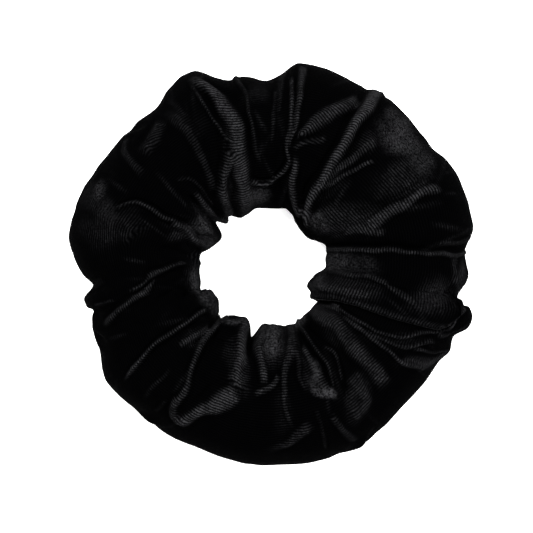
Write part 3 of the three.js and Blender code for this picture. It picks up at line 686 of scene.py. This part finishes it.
    # Painted shade: the marks go dark where the plain end runs in under the cuff's edge, in its shadow.
    clear_of_cuff_shade = 1 - np.where(plain, smooth((past + 2.2) / 1.4), 0)
    blur_x, blur_y = x + wander(radius, bent, 0.55), y + wander(radius, bent, 0.55)
    nap_and_sheen = patches(NAP_SHEEN_PATCHES, blur_x, blur_y, nap_top) * clear_of_cuff_shade
    opened_and_sheen = np.maximum(opened_and_sheen * top, patches(RIBBED_SHEEN_PATCHES, blur_x, blur_y, top)) * clear_of_cuff_shade
    opened_and_sheen = np.maximum(opened_and_sheen, hanging_sheen * top * (1 - smooth((height - 8) / 5)))
    # Painted highlight: a thin light line along the cuff's folded edge.
    hem_edge_highlight = np.where(~plain, bell(past / 0.9), 0) * (inset < HEM_ROLL)[:, None] * top
    opened_and_sheen = np.maximum(opened_and_sheen, 0.35 * hem_edge_highlight)
    # The ribs feel the lobes of either edge only close to it.
    share = ACROSS[None, :]
    bowed = (hole_radius(bent) - steady(hole_radius)(bent)) * ((1 - share) - (1 - share) ** 3)
    bowed += (outer_radius(bent) - steady(outer_radius)(bent)) * (share - share ** 3)
    facing = np.where(np.arange(POINTS_ROUND) <= OUTERMOST, 1, -1)[None, :]
    ribs = ROUND[None, :] + place / np.maximum(pull, 1) + bowed * facing
    points = np.stack([x, y, height], axis=2) * MM
    return dict(points=points, unwrapped=unwrapped, open=opened_and_sheen, nap_and_sheen=nap_and_sheen, ribs=ribs, hem=len(marks) - 1)


def grid_normals(points):
    """Unit normals of a grid that is closed the second way, facing out."""
    normal = np.cross(slope_round(points), np.gradient(points, axis=0))
    return normal / np.maximum(np.linalg.norm(normal, axis=2, keepdims=True), 1e-12)


def add_object(name, data):
    thing = bpy.data.objects.new(name, data)
    scene.collection.objects.link(thing)
    return thing


def grid_faces(rows, cols):
    """The quads of a grid of points that is closed the second way."""
    index = np.arange(rows * cols).reshape(rows, cols)
    after = np.roll(index, -1, axis=1)
    return np.stack([index[:-1], after[:-1], after[1:], index[1:]], axis=2).reshape(-1, 4)


def add_piece(name, points, faces, run, across, material):
    """A smooth mesh with cloth coordinates in millimetres, along and round, at each corner of its faces."""
    mesh = bpy.data.meshes.new(name)
    mesh.from_pydata(points.reshape(-1, 3).tolist(), [], faces)
    mesh.polygons.foreach_set("use_smooth", np.ones(len(faces), bool))
    layer = mesh.uv_layers.new(name="cloth")
    layer.data.foreach_set("uv", np.stack([run, across], axis=1).astype(np.float32).ravel())
    mesh.materials.append(material)
    return add_object(name, mesh)


def span_piece(stem, k, first_end, last_end):
    """(name, CAD nodes, bodies) of the k-th piece of a thing that runs right round the ring."""
    if k == 0:
        return f"{stem}_{first_end}", [f"{stem}_01"], SPANS[:1]
    if k == len(SPANS):
        return f"{stem}_{last_end}", [f"{stem}_{k:02d}"], SPANS[-1:]
    return f"{stem}_{k:02d}_to_{k + 1:02d}", [f"{stem}_{k:02d}", f"{stem}_{k + 1:02d}"], SPANS[k - 1:k + 1]


def bind(piece, nodes, bodies):
    """Hides a piece's CAD nodes, and parents the piece to its one body, or bakes its transform where it lies
    across two bodies.
    """
    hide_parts(*nodes)
    if len(bodies) == 2:
        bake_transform(piece)
    else:
        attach(piece, bodies[0])


# ------ materials
def new_material(name):
    material = bpy.data.materials.new(name)
    material.use_nodes = True
    return material, material.node_tree, material.node_tree.nodes["Principled BSDF"]


def math_node(tree, operation, first, second=None, third=None):
    node = tree.nodes.new("ShaderNodeMath")
    node.operation = operation
    for socket, value in zip(node.inputs, (first, second, third)):
        if value is None:
            continue
        if isinstance(value, (int, float)):
            socket.default_value = value
        else:
            tree.links.new(value, socket)
    return node.outputs[0]


def times_node(tree, first, second):
    return math_node(tree, "MULTIPLY", first, second)


def shift_node(tree, value, scale, shift):
    return math_node(tree, "MULTIPLY_ADD", value, scale, shift)


def set_sockets(node, values):
    for name, value in values.items():
        node.inputs[name].default_value = value


def noise_node(tree, vector, scale, detail, rough=0.5):
    node = tree.nodes.new("ShaderNodeTexNoise")
    set_sockets(node, {"Scale": scale, "Detail": detail, "Roughness": rough})
    tree.links.new(vector, node.inputs["Vector"])
    return node.outputs["Fac"]


def wave_node(tree, phase):
    return shift_node(tree, math_node(tree, "SINE", phase), 0.5, 0.5)


def spread_node(tree, value, scale, shift, least):
    """A field with more contrast, and a floor."""
    return math_node(tree, "MAXIMUM", shift_node(tree, value, scale, shift), least)


def attribute_node(tree, name):
    node = tree.nodes.new("ShaderNodeAttribute")
    node.attribute_name = name
    return node.outputs["Fac"]


def cloth_nodes(tree):
    """The cloth coordinates in millimetres: both, along and round."""
    uv = tree.nodes.new("ShaderNodeUVMap")
    uv.uv_map = "cloth"
    split = tree.nodes.new("ShaderNodeSeparateXYZ")
    tree.links.new(uv.outputs["UV"], split.inputs[0])
    return uv.outputs["UV"], split.outputs["X"], split.outputs["Y"]


def surface_nodes(tree, shader, light, dark, bright, relief, strength, depth, rough):
    """Base colour from dark to bright, a bump and a roughness, on the shader."""
    colour = tree.nodes.new("ShaderNodeMix")
    colour.data_type = "RGBA"
    colour.inputs[6].default_value = (*dark, 1)
    colour.inputs[7].default_value = (*bright, 1)
    tree.links.new(light, colour.inputs[0])
    tree.links.new(colour.outputs[2], shader.inputs["Base Color"])
    bump = tree.nodes.new("ShaderNodeBump")
    set_sockets(bump, {"Strength": strength, "Distance": depth})
    tree.links.new(relief, bump.inputs["Height"])
    tree.links.new(bump.outputs["Normal"], shader.inputs["Normal"])
    tree.links.new(rough, shader.inputs["Roughness"])


RIB_PITCH = GIRTH / round(GIRTH / 0.76)
# The velvet's own black, and the grey of the sheen painted into its base colour.
BLACK, SHEEN_GREY = (0.00014, 0.00014, 0.00018), (0.015, 0.015, 0.016)


def velvet_material():
    """Black stretch velvet with painted sheen in its base colour: ribbed grey where the pile opens, smooth
    grey where it lies flat, black between.
    """
    material, tree, shader = new_material("velvet")
    cloth, _, round_cloth = cloth_nodes(tree)
    place = tree.nodes.new("ShaderNodeTexCoord").outputs["Object"]
    opened_and_sheen, nap_and_sheen = attribute_node(tree, "open"), attribute_node(tree, "nap_and_sheen")

    swayed = shift_node(tree, noise_node(tree, cloth, 0.35, 2), 0.6, round_cloth)
    wave = wave_node(tree, times_node(tree, swayed, 2 * math.pi / RIB_PITCH))
    rib = math_node(tree, "POWER", wave, 1.4)
    stretched = tree.nodes.new("ShaderNodeVectorMath")
    stretched.operation = "MULTIPLY"
    stretched.inputs[1].default_value = (0.9, 1.6, 1)
    tree.links.new(cloth, stretched.inputs[0])
    fleck = noise_node(tree, place, 1900, 3, 0.7)
    cloud = noise_node(tree, place, 260, 4, 0.6)
    drift = noise_node(tree, place, 70, 3, 0.55)
    clouded = spread_node(tree, cloud, 1.8, -0.1, 0)
    coarse = spread_node(tree, fleck, 8, -3.1, 0.1)
    fine = spread_node(tree, fleck, 4, -1.1, 0.1)
    uneven = spread_node(tree, noise_node(tree, stretched.outputs[0], 1, 2, 0.7), 2.6, -0.35, 0.05)
    # Painted sheen: where the pile is smooth its ribs close up, and where it is open they are distinct; the
    # fleck breaks it into glints.
    nap_sheen_part = times_node(tree, nap_and_sheen, shift_node(tree, drift, 1.2, 0.1))
    ribs = shift_node(tree, times_node(tree, rib, uneven), 1.3, 0.12)
    ribbed_sheen_part = times_node(tree, opened_and_sheen, ribs)
    light = math_node(tree, "MAXIMUM", times_node(tree, ribbed_sheen_part, fine),
                      times_node(tree, nap_sheen_part, coarse))
    faint = times_node(tree, times_node(tree, rib, cloud), 0.045)
    light = shift_node(tree, light, clouded, faint)
    light = math_node(tree, "MINIMUM", math_node(tree, "POWER", light, 1.15), 1)

    relief = shift_node(tree, rib, 0.8, times_node(tree, fleck, 0.5))
    rough = shift_node(tree, cloud, 0.15, 0.82)
    surface_nodes(tree, shader, light, BLACK, SHEEN_GREY, relief, 0.55, 0.00018, rough)
    set_sockets(shader, {"Specular IOR Level": 0.001, "Sheen Weight": 0.0003, "Sheen Roughness": 0.45,
                         "Sheen Tint": (0.9, 0.9, 1, 1)})
    return material


def strand_material(name, base, twist, woven, rough):
    """Spun thread or braid: fine strands that slant across its length, one way or both."""
    material, tree, shader = new_material(name)
    _, run, across = cloth_nodes(tree)
    run = times_node(tree, run, twist[0])
    across = times_node(tree, across, twist[1])
    weave = wave_node(tree, math_node(tree, "ADD", run, across))
    if woven:
        weave = math_node(tree, "MAXIMUM", weave, wave_node(tree, math_node(tree, "SUBTRACT", run, across)))
    grain = noise_node(tree, tree.nodes.new("ShaderNodeTexCoord").outputs["Object"], 3000, 3)
    height = times_node(tree, weave, shift_node(tree, grain, 0.8, 0.6))
    surface_nodes(tree, shader, height, [0.3 * c for c in base], [1.4 * c for c in base], height, 0.6, 0.0001,
                  shift_node(tree, grain, 0.2, rough))
    set_sockets(shader, {"Specular IOR Level": 0.04})
    return material


def floor_material():
    material, _, shader = new_material("paper")
    set_sockets(shader, {"Base Color": (0.92, 0.92, 0.92, 1), "Roughness": 0.9, "Specular IOR Level": 0.1,
                         "Emission Color": (1, 1, 1, 1), "Emission Strength": 0.6})
    return material


VELVET = velvet_material()
BRAID = strand_material("braid", (0.018, 0.018, 0.019), (3.4, 3.4), True, 0.65)
THREAD = strand_material("thread", (0.003, 0.003, 0.0032), (14, 9), False, 0.7)

# ------ the sleeve's pieces
CLOTH_PER_DEGREE = 0.955  # millimetres of strip to each degree of the ring
surface = sleeve_surface()
surface["normals"] = grid_normals(surface["points"])


def sleeve_piece(first, last, name, nodes, bodies):
    """One stretch of the sleeve, between two columns, standing for its CAD nodes."""
    part = slice(first, last + 1)
    ribs = surface["ribs"][part]
    after = np.concatenate([ribs[:, 1:], ribs[:, :1] + GIRTH], axis=1)
    hem = np.clip(np.arange(first, last + 1) - surface["hem"], 0, None)
    run = (hem - surface["unwrapped"][part] * CLOTH_PER_DEGREE)[:, None] + 0 * ribs
    run = np.stack([run[:-1], run[:-1], run[1:], run[1:]], axis=2).ravel()
    across = np.stack([ribs[:-1], after[:-1], after[1:], ribs[1:]], axis=2).ravel()
    piece = add_piece(name, surface["points"][part], grid_faces(*ribs.shape).tolist(), run, across, VELVET)
    # The open and nap attributes carry the painted sheen, with where the pile opens or lies smooth, into the
    # base colour.
    for key in ("open", "nap_and_sheen"):
        attribute = piece.data.attributes.new(key, "FLOAT", "POINT")
        attribute.data.foreach_set("value", surface[key][part].astype(np.float32).ravel())
    piece.data.normals_split_custom_set_from_vertices(surface["normals"][part].reshape(-1, 3).tolist())
    piece.data.validate()
    bind(piece, nodes, bodies)


cuts = [int(np.argmin(np.abs(surface["unwrapped"] - direction))) for direction in DIRECTIONS]
cuts = [0, *cuts, len(surface["unwrapped"]) - 1]
for k, (first, last) in enumerate(zip(cuts, cuts[1:])):
    sleeve_piece(first, last, *span_piece("sleeve", k, "tucked_end", "cuff"))


# ------ the elastic and the threads, inside the sleeve
def swept(name, nodes, bodies, slot, material, rows, run):
    """A strip of closed sections with flat ends. run is each section's distance along it."""
    rows = np.asarray(rows)
    count, sides = rows.shape[:2]
    faces = grid_faces(count, sides).tolist()
    faces += [list(range(sides))[::-1], list(range((count - 1) * sides, count * sides))]
    width = np.concatenate([[0], np.cumsum(np.linalg.norm(np.diff(rows[0], axis=0), axis=1))])
    corners = np.array([corner for face in faces for corner in face])
    piece = add_piece(name, rows * MM, faces, run[corners // sides], width[corners % sides], material)
    piece.data.validate()
    bind(piece, nodes, bodies)


def braid_rows(directions, radii):
    """Sections of the flat braid: seven cords side by side, so its faces are lightly ridged."""
    across = np.linspace(-1, 1, 29)
    swell = 0.5 * BRAID_T * (0.82 + 0.18 * np.abs(np.cos(across * math.pi * 3.5)))
    swell *= np.sqrt(np.clip(1 - (np.abs(across) / 1.02) ** 8, 0, 1))
    offsets = np.concatenate([swell, -swell[::-1]])
    heights = MID_Z + 0.5 * BRAID_W * np.concatenate([across, across[::-1]])
    return [on_ring(direction, radius + offsets, heights) for direction, radius in zip(directions, radii)]


def thread_rows(path, size, stitch=None):
    """(sections, distance along) of a thread, pinched where each stitch goes into the cloth."""
    path = np.asarray(path, float)
    run = np.concatenate([[0], np.cumsum(np.linalg.norm(np.diff(path, axis=0), axis=1))])
    tangent = np.gradient(path, axis=0)
    tangent /= np.linalg.norm(tangent, axis=1, keepdims=True)
    level = np.cross(tangent, (0, 0, 1))
    level /= np.maximum(np.linalg.norm(level, axis=1, keepdims=True), 1e-9)
    up = np.cross(level, tangent)
    pinch = 1 if stitch is None else 0.45 + 0.55 * np.sqrt(np.abs(np.sin(run * math.pi / stitch)))
    turn = np.linspace(0, 2 * math.pi, THREAD_SIDES, endpoint=False)
    ring = np.cos(turn)[None, :, None] * level[:, None] + np.sin(turn)[None, :, None] * up[:, None]
    size = size * (np.ones(len(path)) * pinch)[:, None, None]
    return path[:, None] + ring * size, run


THREAD_SIDES = 8
STITCH = 2.6
ZIGZAGS, ZIGZAG_INSET = 7, 3
STITCH_COLUMN = 5  # of the hem's roll: the column that the closing stitches follow

ends = [LAP_END, *DIRECTIONS, LAP_START - 360]
for k, (start, end) in enumerate(zip(ends, ends[1:])):
    directions = np.linspace(start, end, max(4, round((start - end) / 0.8)))
    lapped = smooth((LAP_RAMP - (directions + 360)) / (LAP_RAMP - LAP_END))
    swept(*span_piece("elastic", k, "first_end", "lap"), "braid", BRAID,
          braid_rows(directions, LOOP_R + LAP_RISE * lapped), -np.radians(directions) * LOOP_R)

ends = [EDGE_ANGLE - 6, *DIRECTIONS]
for k, (start, end) in enumerate(zip(ends, ends[1:])):
    directions = np.linspace(start, end, max(6, round(abs(start - end) / 0.5)))
    rows, run = thread_rows(on_ring(directions, SEAM_R, SEAM_Z), THREAD_R, STITCH)
    swept(*span_piece("seam_thread", k, "first_end", None), "thread", THREAD, rows, run)

zigzag = []
for i in range(2 * ZIGZAGS + 1):
    direction = LAP_START + ZIGZAG_INSET + (LAP_END - LAP_START - 2 * ZIGZAG_INSET) * i / (2 * ZIGZAGS)
    height = MID_Z + (1 if i % 2 else -1) * (BRAID_W / 2 - 1)
    zigzag.append(on_ring(direction, LOOP_R + LAP_RISE + BRAID_T / 2 + FINE_THREAD_R, height))
rows, run = thread_rows(open_curve(zigzag, 8), FINE_THREAD_R)
swept("elastic_join_zigzag", ["elastic_join_thread"], SPANS[-1:], "thread", THREAD, rows, run)

# The closing stitches lie in the fold of the cuff's edge, over the top of the sleeve.
over_top = (ROUND > 4) & (ROUND < ROUND[OUTERMOST] - 6)
path = surface["points"][surface["hem"] + STITCH_COLUMN][over_top] / MM
rows, run = thread_rows(path, FINE_THREAD_R, STITCH)
swept("closing_stitches", ["closing_thread"], SPANS[-1:], "thread", THREAD, rows, run)

# ------ stage, lights, camera
FLOOR_Z, FLOOR_HALF = -0.0004, 3
LIGHT_AIM = (0, 0, 0.01)
corners = [(x * FLOOR_HALF, y * FLOOR_HALF, FLOOR_Z) for x, y in ((-1, -1), (1, -1), (1, 1), (-1, 1))]
floor_mesh = bpy.data.meshes.new("floor")
floor_mesh.from_pydata(corners, [], [(0, 1, 2, 3)])
floor_mesh.materials.append(floor_material())
add_object("floor", floor_mesh)


def soft_light(name, place, size, power):
    data = bpy.data.lights.new(name, "AREA")
    data.shape = "RECTANGLE"
    data.size, data.size_y = size
    data.energy = power
    light = add_object(name, data)
    light.location = place
    light.rotation_mode = "QUATERNION"
    light.rotation_quaternion = (Vector(LIGHT_AIM) - Vector(place)).to_track_quat("-Z", "Y")


soft_light("key", (-0.35, 0.55, 0.95), (0.7, 0.5), 30)
soft_light("fill", (0.55, -0.15, 0.9), (0.6, 0.6), 18)

world = bpy.data.worlds.new("studio")
world.use_nodes = True
set_sockets(world.node_tree.nodes["Background"], {"Color": (1, 1, 1, 1), "Strength": 1.1})
scene.world = world
scene.view_settings.view_transform = "Standard"

FIELD = 0.1504  # width seen at the ring's widest height
WIDEST_Z = 0.011
LENS, SENSOR = 100, 36
camera_data = bpy.data.cameras.new("camera")
camera_data.lens = LENS
camera_data.sensor_width = SENSOR
camera_data.clip_start = 0.01
camera = add_object("camera", camera_data)
camera.location = (-0.001, -0.0007, FIELD * LENS / SENSOR + WIDEST_Z)
scene.camera = camera
